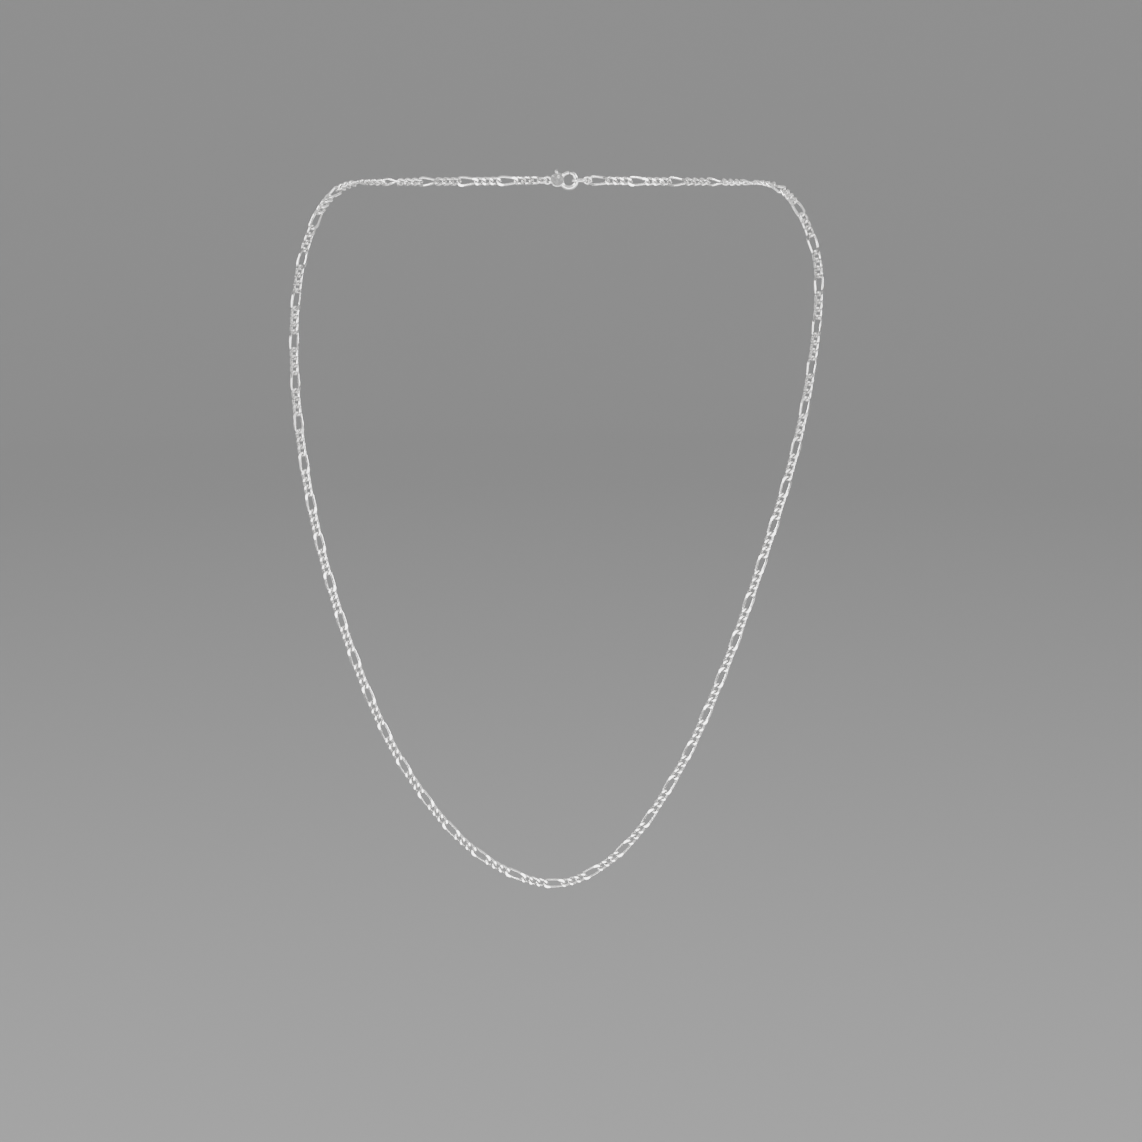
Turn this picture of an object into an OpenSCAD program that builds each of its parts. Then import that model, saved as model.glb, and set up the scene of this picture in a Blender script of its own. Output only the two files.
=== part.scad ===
// Figaro chain necklace: three short links and one long link, repeated round
// the loop, with a lobster clasp at the nape. All sizes are in millimetres.
// The origin is the middle of the clasp, where the necklace lies on the nape:
// +X is the wearer's left, -Y is the wearer's front and +Z is up.

/* [Chain] */
// Diameter of the wire that every link is bent from
wire_d = 0.65; // [0.55:0.05:0.65]
// Clearance between two threaded links
link_gap = 0.12; // [0.1:0.01:0.14]
// Thickness of the chain after its faces are cut flat
chain_thickness = 1.3; // [1.2:0.05:1.6]
// Outer length of a short link
short_length = 3.6; // [3.55:0.05:3.7]
// Half width of a short link's ends, before its corners are rounded
short_half_width = 0.82; // [0.78:0.01:0.86]
// Rise of a short link's ends out of the chain's middle plane
short_rise = 0.82; // [0.8:0.01:0.86]
// Outer length of a long link
long_length = 6.4; // [6:0.1:6.8]
// Half width of a long link's wide end
long_wide_half = 0.96; // [0.92:0.01:1]
// Half width of a long link's narrow end
long_narrow_half = 0.8; // [0.78:0.01:0.84]
// Half width of a long link where its bars bow out most
long_bow_half = 1.12; // [1.08:0.01:1.16]
// Rise of a long link's ends out of the chain's middle plane
long_rise = 0.82; // [0.8:0.01:0.86]

/* [Clasp] */
// Thickness of the clasp's body
clasp_thickness = 2; // [2:0.1:2.4]
// Radius of the clasp's rounded base
base_r = 1.9; // [1.8:0.05:2]
// Radius of the hook, to the middle of its bar
hook_r = 2.15; // [2.1:0.01:2.2]
// Diameter of the hook's bar
hook_d = 1.2; // [1.1:0.05:1.25]
// Diameter of the trigger's gate
gate_d = 0.9; // [0.8:0.05:0.95]
// Diameter of the pivot pin
pin_d = 0.6; // [0.5:0.05:0.6]
// Wire of the clasp's eye
eye_d = 0.6; // [0.55:0.05:0.6]
// Radius of the clasp's eye, to the middle of its wire
eye_r = 0.95; // [0.95:0.01:1]

/* [Rings] */
// Wire of the two small jump rings
jump_wire_d = 0.6; // [0.5:0.05:0.6]
// Radius of the jump ring in the clasp's eye
clasp_ring_r = 1.25; // [1.25:0.05:1.5]
// Wire of the ring that the hook catches
end_wire_d = 0.7; // [0.6:0.05:0.7]
// Radius of the ring that the hook catches
end_ring_r = 1.95; // [1.9:0.05:2.2]
// Radius of the jump ring between that ring and the chain
end_jump_r = 1.05; // [1.05:0.05:1.2]
// Clearance between two rings, and between a ring and the clasp
ring_gap = 0.08; // [0.06:0.01:0.1]

/* [Hidden] */
$fn = 32;
UNITS = 51;
SHORTS = 3;

function two_digits(n) = str(n < 10 ? "0" : "", n);
function unit_name(n) = str("figaro_unit_", two_digits(n + 1));

silver = [0.80, 0.80, 0.81];
wire_r = wire_d / 2;
// The straight rods of a bent wire are a little slimmer than its bends and
// reach this far into them, so that their faces never lie on each other.
rod_slimness = 0.97;
rod_reach = 0.03;

// ---- The chain's own measures -----------------------------------------
short_step = short_length - 2 * wire_d - link_gap;
long_step = (short_length + long_length) / 2 - 2 * wire_d - link_gap;
unit_step = (SHORTS - 1) * short_step + 2 * long_step;
short_apex = short_length / 2 - wire_r;
long_apex = long_length / 2 - wire_r;
// Where a long link's bars bow out most, measured from its middle towards its
// wide end, and how far the bend there reaches along the bar on both sides.
long_bow_x = 0.8;
long_bow_reach = 0.9;
// A link reaches this far from its middle to the points where it hangs on
// its neighbours. Those points lie on the route.
short_reach = short_step / 2;
long_reach = long_step - short_reach;
clasp_reach = 1;

// ---- The clasp's places, along the chain from the clasp's middle --------
hook_x = -2.4;
hook_tip = 101;
hook_root = 352;
base = [0.9, 0.2, 0];
pivot = [0.55, 1.05, 0];
slot_floor = -0.15;
slot_end = 1.45;
slot_width = gate_d + 0.12;
eye_x = 3.75;
eye_far = eye_x + eye_r;

// ---- The trigger, which turns on the pin ----------------------------------
gate_root = 35;
gate_tip = 92;
hub_r = 0.75;
hub_thickness = 0.8;
arm_r = 0.38;
knuckle_r = 1.06 * gate_d / 2;
tab_angle = 70;
tab_reach = 1.75;
tab_r = 0.42;
tab_width = 1.5;
pin_play = 0.03;
leaf_thickness = 0.12;
leaf_width = 0.7;
leaf_r = 0.95;

// ---- The rings' places -----------------------------------------------------
clasp_ring_tilt = 65;
end_ring_tilt = 90;
end_jump_tilt = -25;
clasp_ring_x = eye_far - (eye_d + jump_wire_d) / 2 - ring_gap + clasp_ring_r;
clasp_ring_far = clasp_ring_x + clasp_ring_r;
caught_x = hook_x - hook_r + hook_d / 2 + end_wire_d / 2 + ring_gap;
end_ring_x = caught_x - end_ring_r;
end_jump_near = end_ring_x - end_ring_r + (end_wire_d + jump_wire_d) / 2 + ring_gap;
end_jump_x = end_jump_near - end_jump_r;
ring_to_wire = (jump_wire_d + wire_d) / 2 + ring_gap;
first_link_s = clasp_ring_far - ring_to_wire + short_apex;
last_link_s = end_jump_x - end_jump_r + ring_to_wire - long_apex;
loop_length = first_link_s - last_link_s + UNITS * unit_step - long_step;

// ---- The route of the loop ---------------------------------------------
// From the nape over the wearer's right shoulder, down the front and back
// over the left shoulder. The front hangs straight down in one plane.
front_y = -40;
ROUTE = [
    [0, 0, 0], [-26, -3, 0], [-47, -11, 0.5], [-60, -23, 1],
    [-66, -33, -3], [-70, -39, -11], [-73, front_y, -21],
    [-75, front_y, -40], [-74, front_y, -66], [-69, front_y, -98],
    [-59, front_y, -134], [-45, front_y, -166], [-25, front_y, -191],
    [-2, front_y, -201], [17, front_y, -191.5], [34, front_y, -167],
    [47, front_y, -137], [58.5, front_y, -102], [67.5, front_y, -69],
    [72, front_y, -40], [72.5, front_y, -21], [70, -39, -11],
    [66, -33, -3], [60, -23, 1], [47, -11, 0.5], [26, -3, 0],
];
STEPS = 24;

function unit(v) = v / norm(v);
function route(i) = ROUTE[(i + len(ROUTE)) % len(ROUTE)];
function gap_after(i) = norm(route(i + 1) - route(i));
function heading(i) = (route(i + 1) - route(i - 1)) / (gap_after(i) + gap_after(i - 1));
// A cubic between two points of the route that leaves along one heading
// and arrives along the next.
function curve(i, t) =
    (2 * t ^ 3 - 3 * t ^ 2 + 1) * route(i)
    + (3 * t ^ 2 - 2 * t ^ 3) * route(i + 1)
    + (t ^ 3 - 2 * t ^ 2 + t) * gap_after(i) * heading(i)
    + (t ^ 3 - t ^ 2) * gap_after(i) * heading(i + 1);

drawn = [for (i = [0 : len(ROUTE) - 1], k = [0 : STEPS - 1]) curve(i, k / STEPS)];
closed = concat(drawn, [drawn[0]]);
lengths = [
    for (i = 0, s = 0; i < len(closed); i = i + 1,
         s = i < len(closed) ? s + norm(closed[i] - closed[i - 1]) : s) s
];
// The loop is scaled a little, so that the links fill it exactly.
fit = loop_length / lengths[len(lengths) - 1];
tables = [
    for (axis = [0 : 2]) [for (i = [0 : len(closed) - 1]) fit * [lengths[i], closed[i][axis]]]
];

function wrapped(s) = s - loop_length * floor(s / loop_length);
function place(s) = [for (axis = [0 : 2]) lookup(wrapped(s), tables[axis])];
// The chain's face turns from the nape, over the top of the shoulder, to the front.
function face_hint(p) =
    let (turn = 180 * p.y / (fit * front_y))
    [0, cos(turn), sin(turn)];

// Puts its children across the route at length s, between the two points that
// lie the distance reach before and after it: x along the chain, z out of its face.
module at(s, reach) {
    from = place(s - reach);
    to = place(s + reach);
    p = (from + to) / 2;
    t = unit(to - from);
    hint = face_hint(p);
    n = unit(hint - (hint * t) * t);
    w = cross(n, t);
    multmatrix([
        [t.x, w.x, n.x, p.x],
        [t.y, w.y, n.y, p.y],
        [t.z, w.z, n.z, p.z],
    ]) children();
}

// ---- Wire shapes ---------------------------------------------------------
module rod(a, b, r) {
    v = b - a;
    translate(a)
        rotate([0, acos(v.z / norm(v)), atan2(v.y, v.x)])
            cylinder(h = norm(v), r = r);
}

module arc(r, wire, from, to) {
    rotate([0, 0, from])
        rotate_extrude(angle = to - from)
            translate([r, 0])
                circle(d = wire);
}

module ring(r, wire, tilt) {
    rotate([tilt, 0, 0])
        rotate_extrude()
            translate([r, 0])
                circle(d = wire);
}

// The rounded corner of a wire that comes from a, turns at v and goes on to b.
// It starts and ends at the distance reach from v.
module corner(a, v, b, reach) {
    to_a = unit(a - v);
    to_b = unit(b - v);
    inner = acos(to_a * to_b);
    r = reach * tan(inner / 2);
    centre = v + unit(to_a + to_b) * r / sin(inner / 2);
    x = unit(v + reach * to_a - centre);
    z = unit(cross(x, v + reach * to_b - centre));
    y = cross(z, x);
    multmatrix([
        [x.x, y.x, z.x, centre.x],
        [x.y, y.y, z.y, centre.y],
        [x.z, y.z, z.z, centre.z],
    ]) arc(r, wire_d, 0, 180 - inner);
}

// A closed wire through the corners, each rounded off over its own reach.
module wire_loop(corners, reaches) {
    last = len(corners) - 1;
    for (i = [0 : last]) {
        before = corners[i == 0 ? last : i - 1];
        here = corners[i];
        next_i = i == last ? 0 : i + 1;
        after = corners[next_i];
        step = unit(after - here);
        corner(before, here, after, reaches[i]);
        rod(here + (reaches[i] - rod_reach) * step,
            after - (reaches[next_i] - rod_reach) * step,
            rod_slimness * wire_r);
    }
}

// ---- Links ---------------------------------------------------------------
// How far the rounding of an end's corners reaches: nearly to its middle.
function end_reach(half, rise) = norm([half, rise]) - 2 * rod_reach;

// A curb link is a closed wire loop. Its two ends lean opposite ways out of
// the chain's plane, so that each threads through the next link, and both
// faces are then cut flat. The corners given are those of one bar, from the
// wide end to the narrow end. The other bar is the same one, turned half
// round the link's length.
module link(length, bar, reaches) {
    last = len(bar) - 1;
    other_bar = [for (i = [last : -1 : 0]) [bar[i].x, -bar[i].y, -bar[i].z]];
    other_reaches = [for (i = [last : -1 : 0]) reaches[i]];
    intersection() {
        wire_loop(concat(bar, other_bar), concat(reaches, other_reaches));
        cube([2 * length, 2 * length, chain_thickness], center = true);
    }
}

module short_link() {
    end = end_reach(short_half_width, short_rise);
    link(
        short_length,
        [[short_apex, short_half_width, short_rise],
         [-short_apex, short_half_width, -short_rise]],
        [end, end]
    );
}

module long_link() {
    link(
        long_length,
        [[long_apex, long_wide_half, long_rise],
         [long_bow_x, long_bow_half, long_rise * long_bow_x / long_apex],
         [-long_apex, long_narrow_half, -long_rise]],
        [end_reach(long_wide_half, long_rise), long_bow_reach,
         end_reach(long_narrow_half, long_rise)]
    );
}

module figaro_unit(n) {
    start = first_link_s + n * unit_step;
    color(silver) {
        for (i = [0 : SHORTS - 1])
            at(start + i * short_step, short_reach) short_link();
        at(start + (SHORTS - 1) * short_step + long_step, long_reach) long_link();
    }
}

// ---- Clasp -----------------------------------------------------------------
module clasp_body() {
    color(silver) at(0, clasp_reach) difference() {
        union() {
            translate(base) cylinder(r = base_r, h = clasp_thickness, center = true);
            translate([hook_x, 0, 0]) arc(hook_r, hook_d, hook_tip, hook_root);
            translate([eye_x, 0, 0]) ring(eye_r, eye_d, 0);
            rod([base.x, 0, 0], [eye_x - eye_r, 0, 0], eye_d);
        }
        translate([slot_end - 5, slot_floor, -slot_width / 2])
            cube([5, 5, slot_width]);
        translate(pivot)
            cylinder(d = pin_d + pin_play, h = 2 * clasp_thickness, center = true);
    }
}

// The trigger's gate closes the hook, and its tab is pressed with a thumbnail.
module clasp_trigger() {
    gate_start = [hook_x + hook_r * cos(gate_root), hook_r * sin(gate_root), 0];
    tab = pivot + tab_reach * [cos(tab_angle), sin(tab_angle), 0];
    color(silver) at(0, clasp_reach) difference() {
        union() {
            translate(pivot) cylinder(r = hub_r, h = hub_thickness, center = true);
            rod(pivot, gate_start, arm_r);
            translate(gate_start) sphere(r = knuckle_r);
            translate([hook_x, 0, 0]) arc(hook_r, gate_d, gate_root, gate_tip);
            rod(pivot, tab, arm_r);
            translate(tab) cylinder(r = tab_r, h = tab_width, center = true);
        }
        translate(pivot)
            cylinder(d = pin_d + 2 * pin_play, h = 2 * hub_thickness, center = true);
    }
}

module trigger_pin() {
    color(silver) at(0, clasp_reach) translate(pivot)
        cylinder(d = pin_d, h = clasp_thickness + 4 * pin_play, center = true);
}

// A bent leaf between the floor of the slot and the trigger's hub.
module trigger_spring() {
    color(silver) at(0, clasp_reach)
        translate([pivot.x, pivot.y - hub_r - leaf_r - leaf_thickness, 0])
            rotate([0, 0, 45])
                rotate_extrude(angle = 90)
                    translate([leaf_r, 0])
                        square([leaf_thickness / 2, leaf_width], center = true);
}

// ---- Rings -----------------------------------------------------------------
module clasp_jump_ring() {
    color(silver) at(0, clasp_reach)
        translate([clasp_ring_x, 0, 0]) ring(clasp_ring_r, jump_wire_d, clasp_ring_tilt);
}

module end_ring() {
    color(silver) at(0, clasp_reach)
        translate([end_ring_x, 0, 0]) ring(end_ring_r, end_wire_d, end_ring_tilt);
}

module end_jump_ring() {
    color(silver) at(end_jump_x, end_jump_r) ring(end_jump_r, jump_wire_d, end_jump_tilt);
}

clasp_body();
clasp_trigger();
trigger_pin();
trigger_spring();
clasp_jump_ring();
end_ring();
end_jump_ring();
for (n = [0 : UNITS - 1])
    figaro_unit(n);
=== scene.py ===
"""A silver figaro chain necklace: flat-cut curb links, jump rings and a lobster clasp."""

import math

import bmesh
import bpy
import numpy as np
from mathutils import Matrix, Vector


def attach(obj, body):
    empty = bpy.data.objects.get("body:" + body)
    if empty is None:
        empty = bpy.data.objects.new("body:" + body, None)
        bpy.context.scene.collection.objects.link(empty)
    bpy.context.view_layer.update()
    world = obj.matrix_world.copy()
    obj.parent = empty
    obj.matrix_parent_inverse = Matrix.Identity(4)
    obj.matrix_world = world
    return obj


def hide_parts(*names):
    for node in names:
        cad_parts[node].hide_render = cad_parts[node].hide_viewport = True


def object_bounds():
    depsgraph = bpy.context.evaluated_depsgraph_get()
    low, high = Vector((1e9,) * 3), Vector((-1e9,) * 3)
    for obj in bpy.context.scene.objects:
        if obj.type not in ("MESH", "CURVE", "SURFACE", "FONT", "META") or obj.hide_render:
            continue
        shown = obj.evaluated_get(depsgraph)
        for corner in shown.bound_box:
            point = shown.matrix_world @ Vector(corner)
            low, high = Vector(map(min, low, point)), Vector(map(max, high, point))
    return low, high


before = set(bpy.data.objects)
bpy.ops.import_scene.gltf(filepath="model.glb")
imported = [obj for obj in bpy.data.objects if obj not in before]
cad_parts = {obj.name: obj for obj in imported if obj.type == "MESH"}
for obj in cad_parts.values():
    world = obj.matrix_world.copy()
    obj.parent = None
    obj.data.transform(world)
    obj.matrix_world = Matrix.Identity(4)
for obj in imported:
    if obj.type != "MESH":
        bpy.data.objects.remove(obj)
cad_low, cad_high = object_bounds()

MM = 0.001

# ---- Sizes of the links and rings, as in the CAD model
WIRE_R = 0.325 * MM
CHAIN_THICKNESS = 1.3 * MM
SHORT_LENGTH = 3.6 * MM
SHORT_HALF_WIDTH = 0.82 * MM
LONG_LENGTH = 6.4 * MM
LONG_WIDE_HALF = 0.96 * MM
LONG_NARROW_HALF = 0.80 * MM
# A long link's bars bow out most at one place, and the bend there is long and soft.
LONG_BOW_HALF = 1.12 * MM
LONG_BOW_X = 0.8 * MM
LONG_BOW_REACH = 0.9 * MM
# How far a bar's two ends lie above and below the link's middle plane.
RISE = 0.82 * MM
# The rounded corners of a link's end stop this far from the end's middle.
STRAIGHT_END = 0.06 * MM
# Each ring's radius to the middle of its wire, and the wire's radius. The end ring's wire radius is
# 0.02 mm less than in the CAD model, where it has only 0.005 mm of room beside the last link.
RINGS = {
    "clasp_jump_ring": (1.25 * MM, 0.30 * MM),
    "end_ring": (1.95 * MM, 0.33 * MM),
    "end_jump_ring": (1.05 * MM, 0.30 * MM),
}

# ---- Fineness of the meshes
ARC_STEPS = 14
WIRE_SIDES = 24
SWEEP_STEP = 0.11 * MM
RING_STEPS = 96
CUT_TOLERANCE = 1e-9
MERGE_DISTANCE = 1e-7

# ---- Fine details
# The gap between the ends of a ring's wire, and the bevel round both of them.
SEAM = 0.03 * MM
SEAM_BEVEL = 0.03 * MM
# How far the painted shade in the crooks of a link reaches.
CROOK_REACH = 0.62 * MM
# The clasp's edges are rounded as on a polished casting, on a grid of this size in millimetres.
CASTING_GRID = 0.045
CASTING_ROUNDS = 5
RANDOM_SEED = 7


# ---- Curves and swept wires
def unit(v):
    return v / np.linalg.norm(v)


def rounded_corner(before, here, after, reach):
    """Points along the arc that rounds off a corner, from reach before it to reach after it."""
    to_before = unit(before - here)
    to_after = unit(after - here)
    inner = math.acos(float(to_before @ to_after))
    radius = reach * math.tan(inner / 2)
    centre = here + unit(to_before + to_after) * radius / math.sin(inner / 2)
    x = unit(here + reach * to_before - centre)
    z = unit(np.cross(x, here + reach * to_after - centre))
    y = np.cross(z, x)
    turns = np.linspace(0, math.pi - inner, ARC_STEPS)
    return [centre + radius * (math.cos(a) * x + math.sin(a) * y) for a in turns]


def evenly_spaced(points, step):
    """The closed line through the points, with its points about one step apart."""
    closed = np.vstack([points, points[:1]])
    lengths = np.r_[0, np.cumsum(np.linalg.norm(np.diff(closed, axis=0), axis=1))]
    count = round(lengths[-1] / step)
    at = np.linspace(0, lengths[-1], count, endpoint=False)
    return np.column_stack([np.interp(at, lengths, closed[:, axis]) for axis in range(3)])


def end_reach(half_width):
    """How far the rounding of a link end's corners reaches: nearly to its middle."""
    return math.hypot(half_width, RISE) - STRAIGHT_END


def link_line(bar, reaches):
    """The centre line of a curb link: one bar's corners, then the same bar turned half round."""
    bar = np.array(bar)
    corners = np.vstack([bar, bar[::-1] * [1, -1, -1]])
    points = []
    for i, reach in enumerate(reaches + reaches[::-1]):
        points += rounded_corner(corners[i - 1], corners[i], corners[(i + 1) % len(corners)], reach)
    return evenly_spaced(np.array(points), SWEEP_STEP)


def short_line():
    apex = SHORT_LENGTH / 2 - WIRE_R
    end = end_reach(SHORT_HALF_WIDTH)
    return link_line([[apex, SHORT_HALF_WIDTH, RISE], [-apex, SHORT_HALF_WIDTH, -RISE]], [end, end])


def long_line():
    apex = LONG_LENGTH / 2 - WIRE_R
    bar = [
        [apex, LONG_WIDE_HALF, RISE],
        [LONG_BOW_X, LONG_BOW_HALF, RISE * LONG_BOW_X / apex],
        [-apex, LONG_NARROW_HALF, -RISE],
    ]
    return link_line(bar, [end_reach(LONG_WIDE_HALF), LONG_BOW_REACH, end_reach(LONG_NARROW_HALF)])


def closed_wire(bm, line, radius):
    """Sweeps a round wire along a closed line."""
    count = len(line)
    ahead = np.array([unit(line[(i + 1) % count] - line[i - 1]) for i in range(count)])
    # Any direction will do for the first side vector, if the line doesn't start along it.
    side = unit(np.cross(ahead[0], [0.3, 0.2, 1]))
    sides = [side]
    for i in range(1, count + 1):
        side = side - (side @ ahead[i % count]) * ahead[i % count]
        side = unit(side)
        sides.append(side)
    # The side vector comes back turned by some angle, which is spread evenly over the line.
    turned = math.atan2(float(np.cross(sides[-1], sides[0]) @ ahead[0]), float(sides[-1] @ sides[0]))
    rings = []
    for i in range(count):
        up = np.cross(ahead[i], sides[i])
        start = turned * i / count
        ring = []
        for k in range(WIRE_SIDES):
            a = start + 2 * math.pi * k / WIRE_SIDES
            ring.append(bm.verts.new(line[i] + radius * (math.cos(a) * sides[i] + math.sin(a) * up)))
        rings.append(ring)
    for i in range(count):
        here, after = rings[i], rings[(i + 1) % count]
        for k in range(WIRE_SIDES):
            next_k = (k + 1) % WIRE_SIDES
            bm.faces.new([here[k], here[next_k], after[next_k], after[k]])


def cut_flat(bm, height):
    """Cuts the mesh off flat above and below z = 0, and gives the cut faces the second material."""
    for sign in (1, -1):
        everything = bm.verts[:] + bm.edges[:] + bm.faces[:]
        cut = bmesh.ops.bisect_plane(
            bm, geom=everything, dist=CUT_TOLERANCE, clear_outer=True,
            plane_co=(0, 0, sign * height), plane_no=(0, 0, sign),
        )
        edges = [e for e in cut["geom_cut"] if isinstance(e, bmesh.types.BMEdge)]
        caps = bmesh.ops.edgeloop_fill(bm, edges=edges)["faces"]
        for face in caps:
            face.material_index = 1
            face.normal_update()
            if face.normal.z * sign < 0:
                face.normal_flip()
        for edge in edges:
            edge.smooth = False


def link_mesh(line):
    """One flat-cut curb link round the origin, as lists to build meshes from."""
    bm = bmesh.new()
    closed_wire(bm, line, WIRE_R)
    bmesh.ops.recalc_face_normals(bm, faces=bm.faces)
    cut_flat(bm, CHAIN_THICKNESS / 2)
    bm.verts.index_update()
    vertices = np.array([v.co for v in bm.verts])
    made = {
        "vertices": vertices,
        "faces": [[v.index for v in f.verts] for f in bm.faces],
        "materials": [f.material_index for f in bm.faces],
        "sharp": [[v.index for v in e.verts] for e in bm.edges if not e.smooth],
        # Painted shade, darkest in the crooks at the link's two ends.
        "crook_shade": painted_crook_shade(vertices, line),
    }
    bm.free()
    return made


def painted_crook_shade(vertices, line):
    """How dark each vertex of a link is: painted shade, darkest at the inside of its two ends, where the
    neighbouring links sit.
    """
    apex = line[:, 0].max()
    crooks = np.array([[apex - WIRE_R, 0, 0], [WIRE_R - apex, 0, 0]])
    away = np.linalg.norm(vertices[:, None] - crooks, axis=2).min(axis=1)
    return np.exp(-(away / CROOK_REACH) ** 2)


# ---- Rings
def ring_mesh(radius, wire_r):
    """A jump ring in its own xy plane, with a fine seam on the x axis where the wire's ends meet."""
    edge = SEAM_BEVEL / radius
    start = SEAM / 2 / radius
    end = 2 * math.pi - start
    stations = [(start, wire_r - SEAM_BEVEL)]
    stations += [(turn, wire_r) for turn in np.linspace(start + edge, end - edge, RING_STEPS)]
    stations += [(end, wire_r - SEAM_BEVEL)]
    vertices = []
    for turn, r in stations:
        for k in range(WIRE_SIDES):
            a = 2 * math.pi * k / WIRE_SIDES
            out = radius + r * math.cos(a)
            vertices.append([out * math.cos(turn), out * math.sin(turn), r * math.sin(a)])
    faces = [list(range(WIRE_SIDES))]
    for i in range(len(stations) - 1):
        for k in range(WIRE_SIDES):
            next_k = (k + 1) % WIRE_SIDES
            here, after = i * WIRE_SIDES, (i + 1) * WIRE_SIDES
            faces.append([here + k, after + k, after + next_k, here + next_k])
    last = (len(stations) - 1) * WIRE_SIDES
    faces.append([last + k for k in reversed(range(WIRE_SIDES))])
    return np.array(vertices), faces


# ---- Where the CAD links lie
def triangles_of(vertices, faces):
    fans = [(f[0], f[i], f[i + 1]) for f in faces for i in range(1, len(f) - 1)]
    return vertices[np.array(fans)]


def volume_frame(triangles, forward=None):
    """The centre of a solid and its principal axes as columns: along it, across it, through it."""
    origin = triangles.mean(axis=(0, 1))
    a, b, c = np.moveaxis(triangles - origin, 1, 0)
    volumes = np.einsum("ij,ij->i", a, np.cross(b, c)) / 6
    total = volumes.sum()
    centre = (volumes[:, None] * (a + b + c) / 4).sum(axis=0) / total
    moments = np.zeros((3, 3))
    for p in (a, b, c, a + b + c):
        moments += np.einsum("i,ij,ik->jk", volumes, p, p) / 20
    moments = moments / total - np.outer(centre, centre)
    axes = np.linalg.eigh(moments)[1][:, ::-1].copy()
    if forward is not None and axes[:, 0] @ forward < 0:
        axes[:, 0] *= -1
    axes[:, 1] = np.cross(axes[:, 2], axes[:, 0])
    return origin + centre, axes


def solids_in(node):
    """The triangles of each separate solid in a CAD node, in the order of the node's faces."""
    bm = bmesh.new()
    bm.from_mesh(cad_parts[node].data)
    bmesh.ops.remove_doubles(bm, verts=bm.verts, dist=MERGE_DISTANCE)
    bmesh.ops.triangulate(bm, faces=bm.faces)
    solids = []
    waiting = set(bm.faces)
    for first in bm.faces:
        if first not in waiting:
            continue
        waiting.remove(first)
        solid = []
        edge_of_search = [first]
        while edge_of_search:
            face = edge_of_search.pop()
            solid.append([v.co[:] for v in face.verts])
            for vertex in face.verts:
                fresh = [f for f in vertex.link_faces if f in waiting]
                waiting.difference_update(fresh)
                edge_of_search += fresh
        solids.append(np.array(solid))
    bm.free()
    return solids


# ---- Materials
GRAIN_SCALE = 900
GRAIN_DETAIL = 6
# Nearly all of the grain's values lie between these two.
GRAIN_LOW = 0.3
GRAIN_HIGH = 0.7
CROOK_SHADE_ROUGHNESS = 0.5
# The lightest and darkest shade of a link, and the grey of the painted shade in its crooks.
LIGHT_SILVER = (0.96, 0.955, 0.945, 1)
DARK_SILVER = (0.86, 0.85, 0.835, 1)
CROOK_SHADE_GREY = (0.22, 0.21, 0.2, 1)
# A scratch is this many times as long as it is wide.
SCRATCH_LENGTH = 12
SCRATCH_DETAIL = 3
SCRATCH_HEIGHT = 0.01 * MM


def new_material(name):
    material = bpy.data.materials.new(name)
    material.use_nodes = True
    return material, material.node_tree.nodes, material.node_tree.links


def noise(nodes, links, place, scale, detail):
    texture = nodes.new("ShaderNodeTexNoise")
    texture.inputs["Scale"].default_value = scale
    texture.inputs["Detail"].default_value = detail
    links.new(place, texture.inputs["Vector"])
    return texture.outputs["Fac"]


def mesh_attribute(nodes, name):
    attribute = nodes.new("ShaderNodeAttribute")
    attribute.attribute_name = name
    return attribute.outputs["Fac"]


def silver_roughness(nodes, links, grain, crook_shade, low, high):
    """Roughness between low and high with the grain, and more where the crooks have painted shade."""
    polish = nodes.new("ShaderNodeMapRange")
    polish.inputs["From Min"].default_value = GRAIN_LOW
    polish.inputs["From Max"].default_value = GRAIN_HIGH
    polish.inputs["To Min"].default_value = low
    polish.inputs["To Max"].default_value = high
    links.new(grain, polish.inputs["Value"])
    rough = nodes.new("ShaderNodeMath")
    rough.operation = "MULTIPLY_ADD"
    rough.inputs[1].default_value = CROOK_SHADE_ROUGHNESS
    links.new(crook_shade, rough.inputs[0])
    links.new(polish.outputs["Result"], rough.inputs[2])
    return rough.outputs["Value"]


def silver_colour(nodes, links, crook_shade):
    """A shade of silver for each link, turning grey with the painted shade in its crooks."""
    tone = nodes.new("ShaderNodeMix")
    tone.data_type = "RGBA"
    tone.inputs["A"].default_value = LIGHT_SILVER
    tone.inputs["B"].default_value = DARK_SILVER
    links.new(mesh_attribute(nodes, "shade"), tone.inputs["Factor"])
    # Painted shade: the crooks turn grey.
    crook_shaded = nodes.new("ShaderNodeMix")
    crook_shaded.data_type = "RGBA"
    crook_shaded.inputs["B"].default_value = CROOK_SHADE_GREY
    links.new(crook_shade, crook_shaded.inputs["Factor"])
    links.new(tone.outputs["Result"], crook_shaded.inputs["A"])
    return crook_shaded.outputs["Result"]


def scratch_normal(nodes, links, place, scale, depth):
    """Fine scratches that run one way."""
    stretch = nodes.new("ShaderNodeMapping")
    stretch.inputs["Scale"].default_value = (scale, scale / SCRATCH_LENGTH, scale / SCRATCH_LENGTH)
    links.new(place, stretch.inputs["Vector"])
    bump = nodes.new("ShaderNodeBump")
    bump.inputs["Strength"].default_value = depth
    bump.inputs["Distance"].default_value = SCRATCH_HEIGHT
    links.new(noise(nodes, links, stretch.outputs["Vector"], 1, SCRATCH_DETAIL), bump.inputs["Height"])
    return bump.outputs["Normal"]


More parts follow.
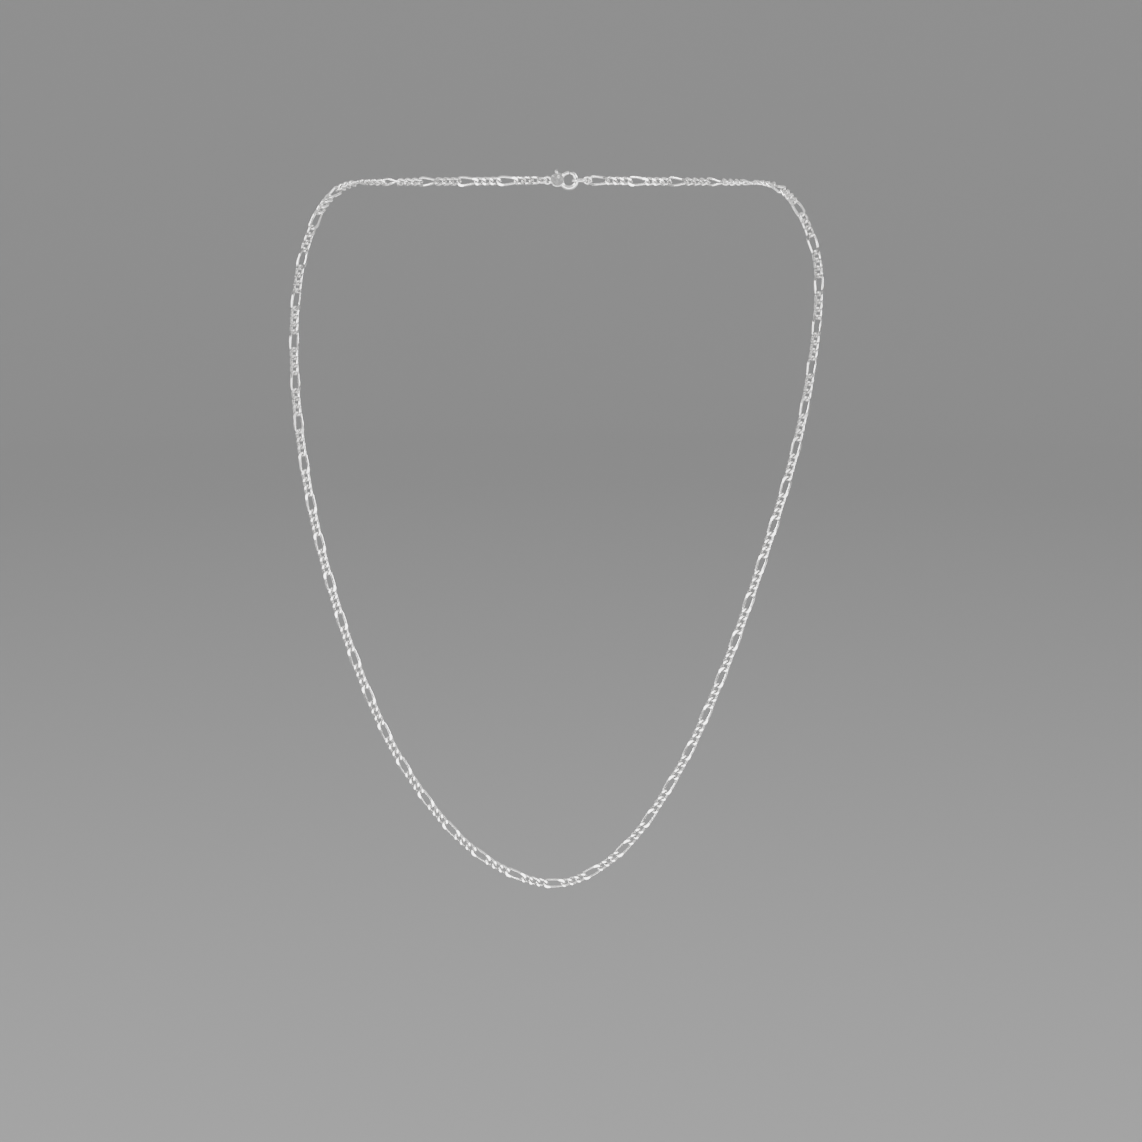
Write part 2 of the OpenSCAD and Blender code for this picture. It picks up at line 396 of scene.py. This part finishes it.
def silver(name, low, high, scratch_scale, scratch_depth):
    """Polished silver with roughness from low to high, fine scratches, and painted shade in its crooks.
    """
    material, nodes, links = new_material(name)
    shader = nodes["Principled BSDF"]
    shader.inputs["Metallic"].default_value = 1
    place = nodes.new("ShaderNodeTexCoord").outputs["Object"]
    grain = noise(nodes, links, place, GRAIN_SCALE, GRAIN_DETAIL)
    patchy = nodes.new("ShaderNodeMath")
    patchy.operation = "MULTIPLY"
    # Painted shade in the links' crooks, made patchy by the grain.
    links.new(mesh_attribute(nodes, "crook_shade"), patchy.inputs[0])
    links.new(grain, patchy.inputs[1])
    crook_shade = patchy.outputs["Value"]
    links.new(silver_roughness(nodes, links, grain, crook_shade, low, high), shader.inputs["Roughness"])
    links.new(silver_colour(nodes, links, crook_shade), shader.inputs["Base Color"])
    normal = scratch_normal(nodes, links, place, scratch_scale, scratch_depth)
    links.new(normal, shader.inputs["Normal"])
    return material


WIRE_SILVER = silver("silver_wire", 0.10, 0.24, 30000, 0.12)
CUT_SILVER = silver("silver_cut_face", 0.05, 0.14, 60000, 0.06)
CAST_SILVER = silver("silver_cast", 0.13, 0.20, 20000, 0.08)


# ---- Pieces
def place_piece(name, mesh, body, node):
    """Shows a mesh in a CAD node's place, riding on the node's body."""
    made = bpy.data.objects.new(name, mesh)
    bpy.context.scene.collection.objects.link(made)
    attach(made, body)
    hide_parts(node)


def smooth_mesh(name, vertices, faces, materials):
    mesh = bpy.data.meshes.new(name)
    mesh.from_pydata(vertices.tolist(), [], faces)
    for material in materials:
        mesh.materials.append(material)
    mesh.polygons.foreach_set("use_smooth", [True] * len(faces))
    return mesh


def figaro_links(unit_name, short_link, long_link, random):
    """Puts a finely made link where each of the unit's CAD links lies."""
    solids = solids_in(unit_name)
    spans = [np.linalg.norm(np.ptp(s.reshape(-1, 3), axis=0)) for s in solids]
    long_place = int(np.argmax(spans))
    centres = [volume_frame(s)[0] for s in solids]
    shorts = [c for i, c in enumerate(centres) if i != long_place]
    forward = centres[long_place] - np.mean(shorts, axis=0)
    vertices, faces, face_materials, crook_shade, shade = [], [], [], [], []
    sharp = set()
    count = 0
    for i, solid in enumerate(solids):
        link = long_link if i == long_place else short_link
        own_centre, own_axes = volume_frame(
            triangles_of(link["vertices"], link["faces"]), np.array([1, 0, 0])
        )
        centre, axes = volume_frame(solid, forward)
        turn = axes @ own_axes.T
        vertices.append((link["vertices"] - own_centre) @ turn.T + centre)
        faces += [[v + count for v in face] for face in link["faces"]]
        face_materials += link["materials"]
        sharp |= {tuple(sorted(v + count for v in edge)) for edge in link["sharp"]}
        crook_shade.append(link["crook_shade"])
        shade.append(np.full(len(link["vertices"]), random.random()))
        count += len(link["vertices"])
    name = unit_name + "_links"
    mesh = smooth_mesh(name, np.vstack(vertices), faces, [WIRE_SILVER, CUT_SILVER])
    mesh.polygons.foreach_set("material_index", face_materials)
    is_sharp = [tuple(sorted(e.vertices)) in sharp for e in mesh.edges]
    mesh.attributes.new("sharp_edge", "BOOLEAN", "EDGE").data.foreach_set("value", is_sharp)
    # Painted shade in the links' crooks, for the silver materials to darken.
    mesh.attributes.new("crook_shade", "FLOAT", "POINT").data.foreach_set("value", np.concatenate(crook_shade))
    mesh.attributes.new("shade", "FLOAT", "POINT").data.foreach_set("value", np.concatenate(shade))
    place_piece(name, mesh, unit_name, unit_name)


def jump_ring(node):
    """A ring of round wire in its CAD node's place, with its seam away from what it joins."""
    centre, axes = volume_frame(np.vstack(solids_in(node)))
    normal = axes[:, 2]
    to_seam = unit(np.cross(normal, [1, 0, 0]))
    vertices, faces = ring_mesh(*RINGS[node])
    turn = np.column_stack([to_seam, np.cross(normal, to_seam), normal])
    name = node + "_wire"
    place_piece(name, smooth_mesh(name, vertices @ turn.T + centre, faces, [WIRE_SILVER]), node, node)


def casting(node, body, grid):
    """A CAD node's shape with its edges rounded, as a polished casting has them."""
    # In millimetres, because the remesh modifier takes no grid finer than 0.0001.
    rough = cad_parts[node].data.copy()
    rough.transform(Matrix.Scale(1 / MM, 4))
    blank = bpy.data.objects.new(node + "_blank", rough)
    bpy.context.scene.collection.objects.link(blank)
    remesh = blank.modifiers.new("remesh", "REMESH")
    remesh.mode = "VOXEL"
    remesh.voxel_size = grid
    remesh.use_smooth_shade = True
    smooth = blank.modifiers.new("smooth", "SMOOTH")
    smooth.iterations = CASTING_ROUNDS
    seen = blank.evaluated_get(bpy.context.evaluated_depsgraph_get())
    mesh = bpy.data.meshes.new_from_object(seen)
    bpy.data.objects.remove(blank)
    mesh.transform(Matrix.Scale(MM, 4))
    mesh.materials.clear()
    mesh.materials.append(CAST_SILVER)
    place_piece(node + "_casting", mesh, body, node)


short_link = link_mesh(short_line())
long_link = link_mesh(long_line())
random = np.random.default_rng(RANDOM_SEED)
for name in sorted(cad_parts):
    if name.startswith("figaro_unit_"):
        figaro_links(name, short_link, long_link, random)
for name in RINGS:
    jump_ring(name)
casting("clasp_body", "clasp", CASTING_GRID)
casting("clasp_trigger", "trigger", CASTING_GRID)
casting("trigger_pin", "clasp", CASTING_GRID / 2)
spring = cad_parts["trigger_spring"].data
spring.materials.clear()
spring.materials.append(WIRE_SILVER)


# ---- Studio
# The picture's width at the necklace, and where the camera stands and looks.
FRAME_W = 0.3213
CAMERA_DISTANCE = 0.95
CAMERA_UP = math.radians(12)
LOOK_AT = Vector((0.003, -0.039, -0.106))
SENSOR_MM = 36
CLIP_NEAR = 0.01
CLIP_FAR = 20
FLOOR_Z = cad_low.z - 0.15
FLOOR_LIGHT_HEIGHT = 0.01
FLOOR_GREY = 0.29
FLOOR_ROUGHNESS = 0.9
WORLD_STRENGTH = 0.95
WALL_RADIUS = 2.6
WALL_TOP = 1.3
# The floor's edge bends up into the wall with this radius.
WALL_BEND = 1.2
BEND_STEPS = 16
WALL_SIDES = 96
# The floor's rings start this far from its middle, where one small face closes them.
FLOOR_HOLE = 0.01


def backdrop():
    """A pale round floor that curves up into a wall all round the necklace."""
    profile = [(FLOOR_HOLE, 0.0)]
    for i in range(BEND_STEPS + 1):
        a = math.pi / 2 * i / BEND_STEPS
        out = WALL_RADIUS - WALL_BEND + WALL_BEND * math.sin(a)
        profile.append((out, WALL_BEND - WALL_BEND * math.cos(a)))
    profile.append((WALL_RADIUS, WALL_TOP))
    turns = [2 * math.pi * k / WALL_SIDES for k in range(WALL_SIDES)]
    vertices = [(r * math.cos(a), r * math.sin(a), FLOOR_Z + z) for r, z in profile for a in turns]
    faces = [list(range(WALL_SIDES))]
    for i in range(len(profile) - 1):
        for k in range(WALL_SIDES):
            next_k = (k + 1) % WALL_SIDES
            here, after = i * WALL_SIDES, (i + 1) * WALL_SIDES
            faces.append([here + k, after + k, after + next_k, here + next_k])
    material, nodes, _ = new_material("studio_floor")
    nodes["Principled BSDF"].inputs["Base Color"].default_value = (FLOOR_GREY, FLOOR_GREY, FLOOR_GREY, 1)
    nodes["Principled BSDF"].inputs["Roughness"].default_value = FLOOR_ROUGHNESS
    mesh = smooth_mesh("studio_floor", np.array(vertices), faces, [material])
    floor = bpy.data.objects.new("studio_floor", mesh)
    bpy.context.scene.collection.objects.link(floor)


def soft_light(name, place, size, watts, aim):
    """A square soft box that faces the point aim. The camera sees its light but not the box."""
    lamp = bpy.data.lights.new(name, "AREA")
    lamp.size = size
    lamp.energy = watts
    made = bpy.data.objects.new(name, lamp)
    made.location = place
    made.rotation_euler = (Vector(aim) - Vector(place)).to_track_quat("-Z", "Y").to_euler()
    made.visible_camera = False
    bpy.context.scene.collection.objects.link(made)


def floor_light(name, x, y, size, watts):
    """A soft box that lies on the floor, face up, for the links to mirror."""
    soft_light(name, (x, y, FLOOR_Z + FLOOR_LIGHT_HEIGHT), size, watts, (x, y, 0))


backdrop()
world = bpy.data.worlds.new("studio")
bpy.context.scene.world = world
world.use_nodes = True
world.node_tree.nodes["Background"].inputs["Color"].default_value = (1, 1, 1, 1)
world.node_tree.nodes["Background"].inputs["Strength"].default_value = WORLD_STRENGTH
floor_light("front_floor_light", 0, -1.15, 1.6, 50)
floor_light("left_floor_light", -1.4, -0.45, 1.2, 20)
floor_light("right_floor_light", 1.4, -0.45, 1.2, 20)
floor_light("back_floor_light", 0, 1.15, 1.6, 18)
soft_light("key_light", (-0.8, -0.5, 0.5), 0.35, 10, LOOK_AT)
soft_light("fill_light", (0.8, -0.4, 0.4), 0.35, 7, LOOK_AT)

camera = bpy.data.cameras.new("camera")
camera.sensor_width = SENSOR_MM
camera.lens = SENSOR_MM * CAMERA_DISTANCE / FRAME_W
camera.clip_start = CLIP_NEAR
camera.clip_end = CLIP_FAR
eye = bpy.data.objects.new("camera", camera)
back = Vector((0, -math.cos(CAMERA_UP), math.sin(CAMERA_UP)))
eye.location = LOOK_AT + CAMERA_DISTANCE * back
eye.rotation_euler = back.to_track_quat("Z", "Y").to_euler()
bpy.context.scene.collection.objects.link(eye)
bpy.context.scene.camera = eye
